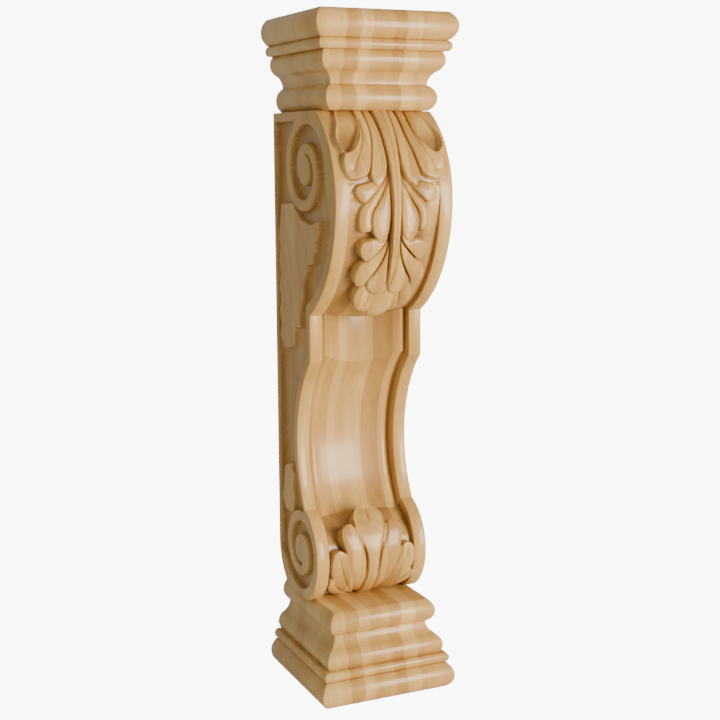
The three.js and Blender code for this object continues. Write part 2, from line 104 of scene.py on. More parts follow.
ahead = Vector((math.sin(camera_yaw) * math.cos(camera_pitch),
                math.cos(camera_yaw) * math.cos(camera_pitch), -math.sin(camera_pitch)))
right = Vector((math.cos(camera_yaw), -math.sin(camera_yaw), 0))
up = right.cross(ahead)
rolled_right = right * math.cos(camera_roll) + up * math.sin(camera_roll)
rolled_up = up * math.cos(camera_roll) - right * math.sin(camera_roll)
turn = Matrix((rolled_right, rolled_up, -ahead)).transposed()
camera_place = Vector((camera_back.x, wall_y + camera_back.y, camera_back.z))
camera.matrix_world = Matrix.Translation(camera_place) @ turn.to_4x4()
camera_data.sensor_width = 36
camera_data.lens = FOCAL_PIXELS / FRAME_PIXELS * camera_data.sensor_width
camera_data.clip_end = 50
print("camera", [round(v, 3) for v in camera.matrix_world.translation], "lens", round(camera_data.lens, 1))

# %% [markdown]
# ## Floor and light
# The photograph is a cut-out on white, lit by large soft lights: one broad light from the front and
# right, so that the left side falls into a soft shade, and a weaker one from the left. A pale floor
# and a pale sky keep the surroundings white.

# %% Floor and world
WORLD_LIGHT = 0.38
BACKDROP_WHITE = 9.0
FLOOR_HALF = 6.0


def shader(material, kind):
    """The first node of that kind in a material's tree."""
    return next(node for node in material.node_tree.nodes if node.type == kind)


floor_mesh = bpy.data.meshes.new("floor")
floor_corners = ((-1, -1), (1, -1), (1, 1), (-1, 1))
floor_mesh.from_pydata([(x * FLOOR_HALF, y * FLOOR_HALF, 0) for x, y in floor_corners], [], [(0, 1, 2, 3)])
floor = bpy.data.objects.new("floor", floor_mesh)
bpy.context.scene.collection.objects.link(floor)
floor_paint = bpy.data.materials.new("pale_floor")
floor_paint.use_nodes = True
floor_surface = shader(floor_paint, "BSDF_PRINCIPLED")
floor_surface.inputs["Base Color"].default_value = (0.93, 0.93, 0.92, 1)
floor_surface.inputs["Roughness"].default_value = 0.7
floor_surface.inputs["Emission Color"].default_value = (1, 1, 1, 1)
floor_tree = floor_paint.node_tree
floor_seen = floor_tree.nodes.new("ShaderNodeLightPath")
floor_glow = floor_tree.nodes.new("ShaderNodeMath")
floor_glow.operation = "MULTIPLY"
floor_glow.inputs[1].default_value = BACKDROP_WHITE
floor_tree.links.new(floor_seen.outputs["Is Camera Ray"], floor_glow.inputs[0])
floor_tree.links.new(floor_glow.outputs[0], floor_surface.inputs["Emission Strength"])
floor_mesh.materials.append(floor_paint)

world = bpy.data.worlds.new("studio")
bpy.context.scene.world = world
world.use_nodes = True
sky = next(node for node in world.node_tree.nodes if node.type == "BACKGROUND")
sky.inputs["Color"].default_value = (1, 0.99, 0.97, 1)
sky.inputs["Strength"].default_value = WORLD_LIGHT
backdrop = world.node_tree.nodes.new("ShaderNodeBackground")
backdrop.inputs["Color"].default_value = (1, 1, 1, 1)
backdrop.inputs["Strength"].default_value = BACKDROP_WHITE
seen = world.node_tree.nodes.new("ShaderNodeLightPath")
chosen = world.node_tree.nodes.new("ShaderNodeMixShader")
world.node_tree.links.new(seen.outputs["Is Camera Ray"], chosen.inputs[0])
world.node_tree.links.new(sky.outputs[0], chosen.inputs[1])
world.node_tree.links.new(backdrop.outputs[0], chosen.inputs[2])
world_end = next(node for node in world.node_tree.nodes if node.type == "OUTPUT_WORLD")
world.node_tree.links.new(chosen.outputs[0], world_end.inputs["Surface"])


# %% Lights
def soft_light(name, place, target, width, height, power, tint):
    """A rectangular light at a place, facing a target, in metres and watts."""
    data = bpy.data.lights.new(name, "AREA")
    data.shape = "RECTANGLE"
    data.size, data.size_y = width, height
    data.energy = power
    data.color = tint
    lamp = bpy.data.objects.new(name, data)
    bpy.context.scene.collection.objects.link(lamp)
    lamp.location = place
    lamp.rotation_mode = "QUATERNION"
    lamp.rotation_quaternion = (Vector(target) - Vector(place)).to_track_quat("-Z", "Y")
    return lamp


LIT_SHARE = 0.55
lit_place = (0, 0, total_height * LIT_SHARE)
soft_light("front_right", (1.25, -2.35, 0.72), lit_place, 0.9, 1.4, 130, (1, 0.87, 0.69))
soft_light("front_left", (-2.4, -1.2, 1.5), lit_place, 1.4, 1.8, 10, (1, 0.99, 0.98))
soft_light("overhead", (0.2, -0.6, 2.6), lit_place, 1.4, 1.4, 1.5, (1, 0.97, 0.92))

# %% [markdown]
# ## The side outline of the body
# Seen from the side, the front of the body is a chain of arcs: two for the bulge, a flat belt, the
# hollow and the foot scroll. Forward is the distance from the wall, and all sizes are in millimetres.
# The channel is the panel between the two rails, sunk along most of the front.

# %% Outline sizes
BODY_TOP, BODY_BOTTOM, BODY_HALF = body_high.z / MM, body_low.z / MM, body_high.x / MM
BULGE_DROP = 114.7
BULGE_HEIGHT = BODY_TOP - BULGE_DROP
UPPER_RADIUS, UPPER_FORWARD = 133.3, 80.2
LOWER_RADIUS, LOWER_FORWARD = 173.0, 40.5
BELT_FORWARD, BELT_BOTTOM = 123.0, BODY_TOP - 328.7
HOLLOW_RADIUS, HOLLOW_HEIGHT = 171.4, BODY_TOP - 449.7
HOLLOW_FORWARD = BELT_FORWARD + math.sqrt(HOLLOW_RADIUS ** 2 - (BELT_BOTTOM - HOLLOW_HEIGHT) ** 2)
FOOT_RISE = 61.3
FOOT_RADIUS, FOOT_HEIGHT = 70.5, BODY_BOTTOM + FOOT_RISE
FOOT_FORWARD = FOOT_RADIUS
RAIL_WIDTH = 18.4
CHANNEL_HALF = BODY_HALF - RAIL_WIDTH
SCOOP_HALF = 47.5
RUN_BELT = LOWER_RADIUS * math.acos((BELT_FORWARD - LOWER_FORWARD) / LOWER_RADIUS)


def ease(value, start, end):
    """0 before start, 1 after end, and a smooth change between them."""
    share = np.clip((value - start) / (end - start), 0, 1)
    return share * share * (3 - 2 * share)


print("front between", round(BODY_BOTTOM, 1), "and", round(BODY_TOP, 1), "mm up")

# %% [markdown]
# ## Carved lobes
# A lobe of the leaf is a closed loop drawn with a few corners and then rounded, as a carver marks it
# out before cutting. The lobes of one tier lie side by side, and where two of them meet runs a V-cut,
# as a parting tool leaves it. The tiers lie over each other like shingles: the tips of an upper tier
# stand proud of the roots below, with a steep bevelled wall. A lobe can have a creased line along its
# middle, and one that curls over is cupped.

# %% Lobe tools
CORNER_NEAR, CORNER_FAR = 0.78, 0.22
FAR_AWAY, TINY = 1e9, 1e-9
VALLEY_DEPTH, VALLEY_HALF, VALLEY_POWER, VALLEY_FADE = 2.4, 2.3, 1.3, -3.5
WALL_OUT, WALL_IN, WALL_CUT = 1.2, 1.4, 0.7
CREASE_DEPTH, CREASE_HALF = 1.5, 1.8
CREASE_BOWL, CREASE_BOWL_HALF = 0.8, 5
DIP_POWER, FALL_POWER = 1.5, 2.2
RISE_START, CUP_START, CUP_END = 0.4, 0.3, 0.8
CUP_RIM, CUP_WALL, CUP_AT_ROOT = 1.0, 5.0, 0.15
BLEND_WIDTH, BLEND_FLOOR = 0.7, -60
COVER_START, COVER_END = 0.5, 2.5


def rounded(corners):
    """A closed loop with its corners cut twice."""
    loop = np.array(corners, float)
    for _ in range(2):
        after = np.roll(loop, -1, axis=0)
        cuts = [CORNER_NEAR * loop + CORNER_FAR * after, CORNER_FAR * loop + CORNER_NEAR * after]
        loop = np.stack(cuts, axis=1).reshape(-1, 2)
    return loop


def line_distance(first, second, starts, ends):
    """Distance from each place to the nearest of some straight lines."""
    nearest = np.full(first.shape, FAR_AWAY)
    for (a0, b0), (a1, b1) in zip(starts, ends):
        da, db = a1 - a0, b1 - b0
        square = max(da * da + db * db, TINY)
        along = np.clip(((first - a0) * da + (second - b0) * db) / square, 0, 1)
        nearest = np.minimum(nearest, (first - a0 - along * da) ** 2 + (second - b0 - along * db) ** 2)
    return np.sqrt(nearest)


def inside_distance(first, second, outline):
    """Distance in from the loop's edge, less than 0 outside the loop."""
    ends = np.roll(outline, -1, axis=0)
    nearest = line_distance(first, second, outline, ends)
    crossings = np.zeros(first.shape, bool)
    for (a0, b0), (a1, b1) in zip(outline, ends):
        if abs(b1 - b0) > TINY:
            crossing = a0 + (second - b0) * (a1 - a0) / (b1 - b0)
            crossings ^= ((b0 > second) != (b1 > second)) & (first < crossing)
    return np.where(crossings, nearest, -nearest)


def lobe_crown(inside, across, along, lobe, surface):
    """Height of a lobe's face: low at the root, rounded down at the edge, creased or cupped."""
    spread = 1 - np.clip(inside / lobe["half"], 0, 1)
    root_across, root_along = lobe["root"]
    heading = np.subtract(lobe["tip"], lobe["root"])
    place = (across - root_across) * heading[0] + (along - root_along) * heading[1]
    place = np.clip(place / (heading ** 2).sum(), 0, 1)
    rise, dip = lobe["rise"] * ease(place, RISE_START, 1), lobe["dip"] * (1 - place) ** DIP_POWER
    face = surface(across, along) + rise - dip
    face -= lobe["fall"] * spread ** FALL_POWER
    if lobe["crease"]:
        away = line_distance(across, along, lobe["crease"][:-1], lobe["crease"][1:])
        bowl = CREASE_BOWL * np.exp(-(away / CREASE_BOWL_HALF) ** 2)
        face -= CREASE_DEPTH * np.clip(1 - away / CREASE_HALF, 0, 1) + bowl
    cupped = CUP_AT_ROOT + (1 - CUP_AT_ROOT) * ease(place, CUP_START, CUP_END)
    return face - lobe["cup"] * ease(inside, CUP_RIM, CUP_WALL) * cupped


def tier_shape(across, along, lobes, surface):
    """Distance inside one tier's outline, and its height. Each lobe is also laid down mirrored."""
    insides, crowns = [], []
    for lobe in lobes:
        inside = inside_distance(across, along, rounded(lobe["loop"]))
        crown = lobe_crown(inside, across, along, lobe, surface)
        insides += [inside, inside[:, ::-1]]
        crowns += [crown, crown[:, ::-1]]
    insides, crowns = np.array(insides), np.array(crowns)
    second, first = np.sort(insides, axis=0)[-2:]
    weight = np.exp(np.clip((insides - first) / BLEND_WIDTH, BLEND_FLOOR, 0))
    height = (weight * crowns).sum(axis=0) / weight.sum(axis=0)
    apart = (first - second) / 2
    valley = np.clip(1 - apart / VALLEY_HALF, 0, 1) ** VALLEY_POWER
    cut = VALLEY_DEPTH * valley * ease(second, VALLEY_FADE, 0)
    return first, height - cut * (len(lobes) > 1)


def carve(across, along, floor, tiers, surface):
    """The floor with every tier laid over it, lowest tier first."""
    top = floor.copy()
    for lobes in tiers:
        inside, height = tier_shape(across, along, lobes, surface)
        covered = ease(top - floor, COVER_START, COVER_END)
        wall = np.clip((inside + WALL_OUT) / (WALL_OUT + WALL_IN), 0, 1)
        at_foot = np.clip(1 - np.abs(inside + WALL_OUT) / VALLEY_HALF, 0, 1)
        cut = WALL_CUT * VALLEY_DEPTH * at_foot * covered
        top = top + (height - top) * (0.5 * wall + 0.5 * wall * wall * (3 - 2 * wall)) - cut
    return top


def lobe(root, tip, half, loop, dip=3.5, fall=2.0, cup=0.0, rise=1.0, crease=()):
    """A lobe from root to tip. Dip is its drop at the root, fall its drop at the edge."""
    return {"root": root, "tip": tip, "half": half, "loop": loop, "dip": dip, "fall": fall, "cup": cup,
            "rise": rise, "crease": crease}


# Places on the bulge are (across, distance down the front from the widest level).
side_petals = [
    lobe((12, 95), (29, 150), 13,
         ((8, 98), (25, 103), (36, 111), (42, 121), (43, 133), (39, 144), (30, 152), (17, 157), (8, 154),
          (8, 118)),
         dip=5.0, crease=((16, 112), (22, 126), (25, 143))),
]
middle_petal = [
    lobe((0, 95), (0, 168), 14,
         ((-13, 98), (13, 98), (14, 125), (16, 148), (15, 161), (8, 169), (-8, 169), (-15, 161), (-16, 148),
          (-14, 125)),
         dip=4.0, rise=1.5),
]
low_tier = [
    lobe((8, 25), (46, 62), 11,
         ((8, 20), (14, 37), (24, 45), (35, 47), (46, 50), (49, 57), (47, 67), (40, 75), (35, 75), (24, 65),
          (9, 49)),
         dip=3.0, rise=1.0, fall=0.8),
    lobe((8, 40), (44, 107), 13,
         ((8, 30), (9, 49), (24, 65), (37, 76), (44, 79), (49, 88), (50, 99), (46, 110), (39, 112),
          (31, 107), (28, 98), (22, 90), (12, 71), (7, 50)),
         dip=4.0),
    lobe((5, 45), (15, 121), 10,
         ((6, 40), (12, 71), (23, 92), (32, 102), (30, 111), (24, 119), (15, 123), (6, 121), (1, 113),
          (2, 98), (5, 80), (5, 60)),
         dip=3.5),
]
middle_tier = [
    lobe((8, -58), (53, -12), 12,
         ((8, -62), (19, -35), (27, -28), (41, -23), (54, -21), (59, -14), (54, -4), (46, 2), (41, 1),
          (27, -13), (13, -30), (7, -45)),
         dip=4.0, rise=2.5, fall=1.0),
    lobe((8, -40), (47, 34), 14,
         ((8, -48), (13, -30), (27, -13), (43, 1), (49, 7), (52, 16), (52, 29), (49, 38), (43, 39),
          (32, 36), (33, 24), (32, 12), (21, -4), (9, -28)),
         dip=4.0),
    lobe((7, -30), (22, 48), 11,
         ((7, -42), (9, -28), (21, -4), (33, 13), (36, 23), (34, 34), (30, 42), (24, 49), (16, 48),
          (10, 40), (7, 20), (6, -10)),
         dip=3.5),
]
top_tier = [
    lobe((50, -142), (64, -62), 15,
         ((38, -144), (36, -112), (37, -92), (45, -76), (53, -64), (62, -58), (70, -62), (75, -72),
          (75, -84), (71, -95), (67, -105), (65, -116), (61, -130), (55, -144)),
         cup=9.0, dip=3.0, rise=0.0, fall=0.0),
    lobe((34, -142), (58, -34), 16,
         ((36, -144), (36, -112), (38, -92), (47, -75), (57, -65), (66, -63), (71, -53), (71, -40),
          (66, -29), (58, -27), (48, -29), (37, -34), (33, -44), (29, -62), (24, -84), (23, -112),
          (24, -144)),
         dip=1.5, rise=4.0, fall=0.6, crease=((33, -112), (37, -82), (46, -62), (53, -49), (57, -38))),
    lobe((17, -142), (26, -22), 9,
         ((23, -144), (23, -112), (24, -84), (29, -62), (33, -44), (36, -34), (33, -25), (27, -18),
          (19, -23), (13, -32), (10, -45), (9, -75), (11, -144)),
         dip=2.0, rise=2.5, fall=1.2),
]
bulge_tiers = [side_petals, middle_petal, low_tier, middle_tier, top_tier]
# Places on the foot scroll are (across, distance up the scroll from its centre's level).
foot_tiers = [
    [lobe((14, -80), (60, -30), 9,
          ((10, -90), (22, -90), (44, -72), (60, -52), (65, -36), (62, -24), (54, -24), (42, -34),
           (26, -56)),
          dip=3.5, fall=1.2, crease=((24, -78), (42, -56), (53, -38)))],
    [lobe((9, -70), (56, 12), 11,
          ((6, -86), (16, -86), (30, -66), (48, -44), (62, -22), (64, 0), (60, 14), (50, 17), (38, 10),
           (28, -12), (16, -46)),
          dip=3.5, fall=1.2, crease=((20, -66), (38, -34), (48, -10), (51, 5)))],
    [lobe((7, -60), (36, 44), 10,
          ((3, -84), (12, -76), (24, -44), (34, -12), (42, 12), (47, 30), (45, 42), (36, 49), (26, 48),
           (18, 34), (11, 6), (6, -40)),
          dip=3.0, fall=1.8)],
    [lobe((0, -80), (0, 72), 12,
          ((-10, -90), (10, -90), (8, -30), (9, 4), (14, 17), (20, 29), (24, 41), (24, 54), (18, 67),
           (8, 74), (-8, 74), (-18, 67), (-24, 54), (-24, 41), (-20, 29), (-14, 17), (-9, 4), (-8, -30)),
          dip=1.0, cup=2.0, fall=0.8, crease=((0, 52), (0, 66)))],
]
STEM_RUNS = (-142, -110, -80, -50, -20, 10, 40, 70, 90, 108)
STEM_HALVES = (12.5, 10.5, 9, 7.5, 7, 6.2, 6, 5.5, 4.5, 2.0)
STEM_RISE, STEM_ROUNDING = 1.6, 1.6
STEM_GROOVE, STEM_GROOVE_HALF = 1.0, 1.3
# Rise of the leaves from the rails: distance along, rise in the middle, rise beside the rails.
BULGE_RELIEF = ((-140, 9, 4), (-100, 8, 8), (-66, 6, 9), (-40, 5, 3), (-10, 5, 2), (25, 6.5, 1), (60, 10, 2),
                (90, 13, 4), (120, 14.5, 7), (145, 15.5, 13), (190, 12, 12))
FOOT_RELIEF = ((-80, 1, -2), (-30, 5, 2), (15, 8, 6), (45, 8, 8), (75, 6.5, 8))


def relief_rise(across, along, relief):
    places, middles, edges = np.array(relief, float).T
    middle, edge = np.interp(along, places, middles), np.interp(along, places, edges)
    return middle + (edge - middle) * (across / CHANNEL_HALF) ** 2


def leaf_surface(across, along):
    return relief_rise(across, along, BULGE_RELIEF)


def foot_surface(across, along):
    return relief_rise(across, along, FOOT_RELIEF)


def stem_height(across, along):
    """The doubled stem of the leaf: height of its ridges, share (0 outside it) and distance in."""
    half = np.interp(along, STEM_RUNS, STEM_HALVES)
    inside = half - np.abs(across)
    groove = STEM_GROOVE * np.exp(-(across / STEM_GROOVE_HALF) ** 2)
    ridge = leaf_surface(across, along) + STEM_RISE - groove
    ridge -= STEM_ROUNDING * np.clip(np.abs(across) / half, 0, 1) ** 4
    return ridge, ease(inside, -0.4, 1.0) * (along < STEM_RUNS[-1]), inside


print("tiers:", len(bulge_tiers), "on the bulge,", len(foot_tiers), "on the foot")

# %% [markdown]
# ## The front of the body
# The front is a grid. Its columns run up the piece, close together where the leaf is, and its rows are
# shared out over the arcs so that a row lies on every corner of the outline. A recess is measured in
# from the rails' face, and a lift out from it.

# %% Front grid
WALL_DRAFT = 0.4
EDGE_ROUND = 1.4
ARRIS_SIZE = 0.5
PANEL_COLUMNS = 88
UPPER_ROWS, LOWER_ROWS, BELT_ROWS, HOLLOW_ROWS, FOOT_ROWS = 170, 230, 36, 140, 170
BEAD_RECESS, BEAD_SIZE = 8.6, 4.4
SCOOP_EDGE_RECESS, SCOOP_SIZE = 13.0, 12.0
FOOT_RECESS, FOOT_FLOOR_RISE = 14.0, 5.0
BELLY_RECESS, BELLY_SWELL = 7.0, 4.0
CREASE_SAG, CREASE_DROP, CREASE_REACH = 12.0, 7.0, 56.0

rail_columns = [BODY_HALF - step for step in (0, 0.25, 0.7, 1.4, 3.5, 6, *np.arange(8.2, 18, 0.8))]
panel_columns = list(np.linspace(CHANNEL_HALF - WALL_DRAFT, 0, PANEL_COLUMNS))
half_columns = rail_columns + [CHANNEL_HALF] + panel_columns
front_x = np.array([-x for x in half_columns] + half_columns[-2::-1])
x_size = np.abs(front_x)
in_channel = (x_size < CHANNEL_HALF - WALL_DRAFT / 2).astype(float)
edge_reach = np.clip(EDGE_ROUND ** 2 - (x_size - BODY_HALF + EDGE_ROUND) ** 2, 0, None)
edge_drop = np.where(x_size > BODY_HALF - EDGE_ROUND, EDGE_ROUND - np.sqrt(edge_reach), 0)
channel_arris = ARRIS_SIZE * (np.abs(x_size - CHANNEL_HALF) < 0.05)

# The belt and the hollow are scooped out, with a round bead beside each rail.
bead_middle, bead_half = (CHANNEL_HALF + SCOOP_HALF) / 2, (CHANNEL_HALF - SCOOP_HALF) / 2
bead_share = np.clip((x_size - bead_middle) / bead_half, -1, 1)
bead_recess = BEAD_RECESS + BEAD_SIZE * np.abs(bead_share) ** 1.3
scoop_recess = SCOOP_EDGE_RECESS + SCOOP_SIZE * (1 - np.clip(x_size / SCOOP_HALF, 0, 1) ** 2)
panel_recess = np.where(x_size > SCOOP_HALF, bead_recess, scoop_recess)
belt_recess = panel_recess * in_channel + edge_drop + channel_arris
foot_recess = FOOT_RECESS * in_channel + edge_drop + channel_arris
# The crease under the belt dips in the middle, so the hollow is scooped a little differently.
crease_sag = CREASE_SAG * np.clip(x_size / CREASE_REACH, 0, 1) ** 2 - CREASE_DROP
belt_bottom = BELT_BOTTOM + crease_sag * in_channel
hollow_set_out = np.sqrt(HOLLOW_RADIUS ** 2 - (belt_bottom - HOLLOW_HEIGHT) ** 2)
hollow_recess = HOLLOW_FORWARD - BELT_FORWARD + belt_recess - hollow_set_out
belly_recess = BELLY_RECESS - BELLY_SWELL * (1 - (x_size / CHANNEL_HALF) ** 2)


def circle_rows(forward, height, radius, angles):
    return forward + radius * np.cos(angles), height + radius * np.sin(angles)


def bulge_lift(run):
    """How far the bulge stands out from its arcs at each place of the grid, in millimetres."""
    sunk_share = ease(run, -38, 72)
    flat = BELLY_RECESS + (belly_recess - BELLY_RECESS) * ease(run, 40, 150)
    floor = -sunk_share * (flat * in_channel + channel_arris) - edge_drop
    across = np.broadcast_to(front_x, run.shape)
    top = carve(across, run, floor, bulge_tiers, leaf_surface)
    ridge, share_in, inside = stem_height(across, run)
    groove = VALLEY_DEPTH * np.clip(1 - np.abs(inside) / VALLEY_HALF, 0, 1) * (run < STEM_RUNS[-1])
    return top + (ridge - top) * share_in - groove * ease(top - floor, COVER_START, COVER_END)


upper_share = np.linspace(0, 1, UPPER_ROWS)[:, None]
first_run = np.full((1, front_x.size), -UPPER_RADIUS * math.asin(BULGE_DROP / UPPER_RADIUS))
top_lift = bulge_lift(first_run)
upper_start = np.arcsin(np.clip(BULGE_DROP / (UPPER_RADIUS + top_lift), -1, 1))
upper_angle = upper_start * (1 - upper_share)
upper_lift = bulge_lift(-UPPER_RADIUS * upper_angle)
upper_u, upper_z = circle_rows(UPPER_FORWARD, BULGE_HEIGHT, UPPER_RADIUS + upper_lift, upper_angle)
upper_z = np.minimum(upper_z, BODY_TOP)
upper_z[0] = BODY_TOP

lower_share = np.linspace(0, 1, LOWER_ROWS + 1)[1:, None]
end_lift = bulge_lift(np.full((1, front_x.size), RUN_BELT + 4.0))
lower_end = -np.arccos((BELT_FORWARD - belt_recess - LOWER_FORWARD) / (LOWER_RADIUS + end_lift))
lower_angle = lower_end * lower_share
lower_lift = bulge_lift(-LOWER_RADIUS * lower_angle)
lower_lift[-1] = end_lift
lower_u, lower_z = circle_rows(LOWER_FORWARD, BULGE_HEIGHT, LOWER_RADIUS + lower_lift, lower_angle)

belt_share = np.linspace(0, 1, BELT_ROWS + 1)[1:, None]
belt_z = lower_z[-1] + (belt_bottom - lower_z[-1]) * belt_share
belt_u = BELT_FORWARD - belt_recess + 0 * belt_z

# The hollow ends where its arc, set back by the scoop, meets the foot scroll.
foot_size = FOOT_RADIUS - foot_recess
gap_u, gap_z = HOLLOW_FORWARD - hollow_recess - FOOT_FORWARD, HOLLOW_HEIGHT - FOOT_HEIGHT
gap = np.hypot(gap_u, gap_z)
along_gap = (foot_size ** 2 - HOLLOW_RADIUS ** 2 + gap ** 2) / (2 * gap)
off_gap = np.sqrt(np.clip(foot_size ** 2 - along_gap ** 2, 0, None))
crease_u = FOOT_FORWARD + (gap_u * along_gap - gap_z * off_gap) / gap
crease_z = FOOT_HEIGHT + (gap_z * along_gap + gap_u * off_gap) / gap
hollow_start = np.arctan2(belt_bottom - HOLLOW_HEIGHT, -hollow_set_out)
hollow_end = np.arctan2(crease_z - HOLLOW_HEIGHT, crease_u + hollow_recess - HOLLOW_FORWARD) % (2 * math.pi)
hollow_share = np.linspace(0, 1, HOLLOW_ROWS + 1)[1:, None]
hollow_angle = hollow_start + (hollow_end - hollow_start) * hollow_share
hollow_u, hollow_z = circle_rows(HOLLOW_FORWARD - hollow_recess, HOLLOW_HEIGHT, HOLLOW_RADIUS, hollow_angle)

foot_share = np.linspace(0, 1, FOOT_ROWS + 1)[1:, None]
foot_start = np.arctan2(crease_z - FOOT_HEIGHT, crease_u - FOOT_FORWARD)
rail_end = -math.asin(FOOT_RISE / FOOT_RADIUS)
foot_end = np.where(in_channel > 0, math.radians(-72), rail_end + 0.01)
foot_angle = foot_start + (foot_end - foot_start) * foot_share
foot_across = np.broadcast_to(front_x, foot_angle.shape)
# The floor of the foot lies less deep beside the palmette than at its tips.
foot_floor = FOOT_FLOOR_RISE * in_channel * (1 - ease(FOOT_RADIUS * foot_angle, 20, 60)) - foot_recess
foot_lift = carve(foot_across, FOOT_RADIUS * foot_angle, foot_floor, foot_tiers, foot_surface)
foot_u, foot_z = circle_rows(FOOT_FORWARD, FOOT_HEIGHT, FOOT_RADIUS + foot_lift, foot_angle)


def hollowness(lift, reach):
    """How far each place lies below its surroundings, 0 to 1, for the painted shade in the recesses."""
    around = lift
    for axis in (0, 1):
        margins = [(reach, reach) if axis == side else (0, 0) for side in (0, 1)]
        padded = np.pad(around, margins, mode="edge")
        total = np.cumsum(np.insert(padded, 0, 0, axis=axis), axis=axis)
        width = 2 * reach + 1
        ends = (slice(width, None), slice(None)) if axis == 0 else (slice(None), slice(width, None))
        starts = (slice(None, -width), slice(None)) if axis == 0 else (slice(None), slice(None, -width))
        around = (total[ends] - total[starts]) / width
    return ease(around - lift, 0.8, 6.0)


bulge_lifts = np.vstack([upper_lift, lower_lift])
bulge_runs = np.vstack([-UPPER_RADIUS * upper_angle, -LOWER_RADIUS * lower_angle])
# Painted shade on the bulge: darker in its hollows, on the bare floor of the belly and in the bottom of the
# curled top lobe.
bare_belly_shade = ease(bulge_runs, 90, 125) * (1 - ease(bulge_lifts + belly_recess, 0.5, 4)) * in_channel
curl_loop = rounded(top_tier[0]["loop"])
curl_inside = inside_distance(np.broadcast_to(x_size, bulge_runs.shape), bulge_runs, curl_loop)
curl_hollow_shade = 0.85 * ease(curl_inside, 2.0, 8.0) * ease(bulge_runs, -112, -76)
bulge_hollow_shades = [hollowness(bulge_lifts, reach) for reach in (8, 20)]
bulge_painted_shade = np.maximum.reduce([*bulge_hollow_shades, 0.55 * bare_belly_shade, curl_hollow_shade])
# Painted shade on the foot: darker in its hollows and on the floor the palmette leaves bare.
bare_foot_floor_shade = (1 - ease(foot_lift - foot_floor, 0.5, 5)) * in_channel
foot_painted_shade = np.maximum(hollowness(foot_lift, 8), 0.5 * bare_foot_floor_shade)
foot_z = np.maximum(foot_z, BODY_BOTTOM + 0.3 * (1 - foot_share))
last_u = np.where(in_channel > 0, foot_u[-1], FOOT_FORWARD + FOOT_RADIUS * math.cos(rail_end))

front_u = np.vstack([upper_u, lower_u, belt_u, hollow_u, foot_u, last_u[None]])
front_z = np.vstack([upper_z, lower_z, belt_z, hollow_z, foot_z, np.full((1, front_x.size), BODY_BOTTOM)])
# The painted shade of the whole front; the belt and the hollow get none.
belt_painted_shade = np.zeros((BELT_ROWS + HOLLOW_ROWS, front_x.size))
front_painted_shade = np.vstack([bulge_painted_shade, belt_painted_shade, foot_painted_shade, foot_painted_shade[-1:]])
print("front grid:", front_u.shape)

# %% [markdown]
# ## The carved sides
# Each side is sunk 8 mm behind a border. Left standing in it are two spiral volutes and two leaves.
# Their outlines are closed loops of (forward, height), and the depth of the carving at a place follows
# from its distance to those loops. A volute's turn is measured in degrees from the top.

# %% Side outlines
POCKET_DEPTH = 8.0
LEAF_SINK = 1.2
TURN_STEP = 6.0
BULGE_BORDER, BELT_BORDER, FOOT_BORDER = 16, 12, 4
BACK_BORDER = 7
TOOTH_NEAR, TOOTH_FAR, TOOTH_STEP = 11, 17, 17.5
FLUTE_RISE, FLUTE_SPACING, FLUTE_SLOPE = 0.35, 27, 0.45
UPPER_VOLUTE = {"forward": 110, "height": BODY_TOP - 75.7, "eye": 20, "groove": 25,
                "start": 9, "end": 469, "first": 19, "growth": 40, "from": 0}
LOWER_VOLUTE = {"forward": 80, "height": BODY_BOTTOM + 67.3, "eye": 19.5, "groove": 18.5,
                "start": 165, "end": 606, "first": 24, "growth": 33, "from": 180}


def volute_radius(volute, turn, inner):
    """Radius of the groove's outer wall, or of its inner wall, at a turn in degrees from the top."""
    outer = volute["first"] + (turn - volute["from"]) / 360 * volute["growth"]
    return np.minimum(outer, np.maximum(volute["eye"], outer - volute["groove"])) if inner else outer


def volute_points(volute, turn, inner):
    radius = volute_radius(volute, turn, inner)
    return np.column_stack((volute["forward"] + radius * np.sin(np.radians(turn)),
                            volute["height"] + radius * np.cos(np.radians(turn))))


def groove_outline(volute):
    turn = np.arange(volute["start"], volute["end"] + 1, TURN_STEP)
    inner, outer = volute_points(volute, turn, True), volute_points(volute, turn[::-1], False)
    return np.vstack((inner - (0, 0.01), outer))


def arc_points(forward, height, radius, start, end, count):
    angle = np.radians(np.linspace(start, end, count))
    return np.column_stack(circle_rows(forward, height, radius, angle))


def field_outline():
    """The sunk field behind the front border, round the back of both volutes."""
    border = LOWER_RADIUS - BULGE_BORDER
    start = math.degrees(math.asin((UPPER_VOLUTE["height"] - 67 - BULGE_HEIGHT) / border))
    end = -math.degrees(math.acos((BELT_FORWARD - BELT_BORDER - LOWER_FORWARD) / border))
    hollow_turn = np.linspace(math.degrees(hollow_start[0]), math.degrees(hollow_end[0]) - 1, 24)
    hollow_border = BELT_BORDER - (BELT_BORDER - FOOT_BORDER) * np.clip((hollow_turn - 180) / 31, 0, 1)
    hollow_edge = np.column_stack(circle_rows(HOLLOW_FORWARD, HOLLOW_HEIGHT, HOLLOW_RADIUS + hollow_border,
                                              np.radians(hollow_turn)))
    return np.vstack((
        [[BACK_BORDER, BODY_TOP - 12.7]],
        volute_points(UPPER_VOLUTE, np.arange(693, 459, -TURN_STEP), True),
        volute_points(UPPER_VOLUTE, np.array([460.0]), False),
        arc_points(LOWER_FORWARD, BULGE_HEIGHT, border, start, end, 24),
        hollow_edge,
        volute_points(LOWER_VOLUTE, np.arange(732, 599, -TURN_STEP), True),
        volute_points(LOWER_VOLUTE, np.array([600.0]), False),
        [[BACK_BORDER, BODY_BOTTOM + 50.3]],
    ))


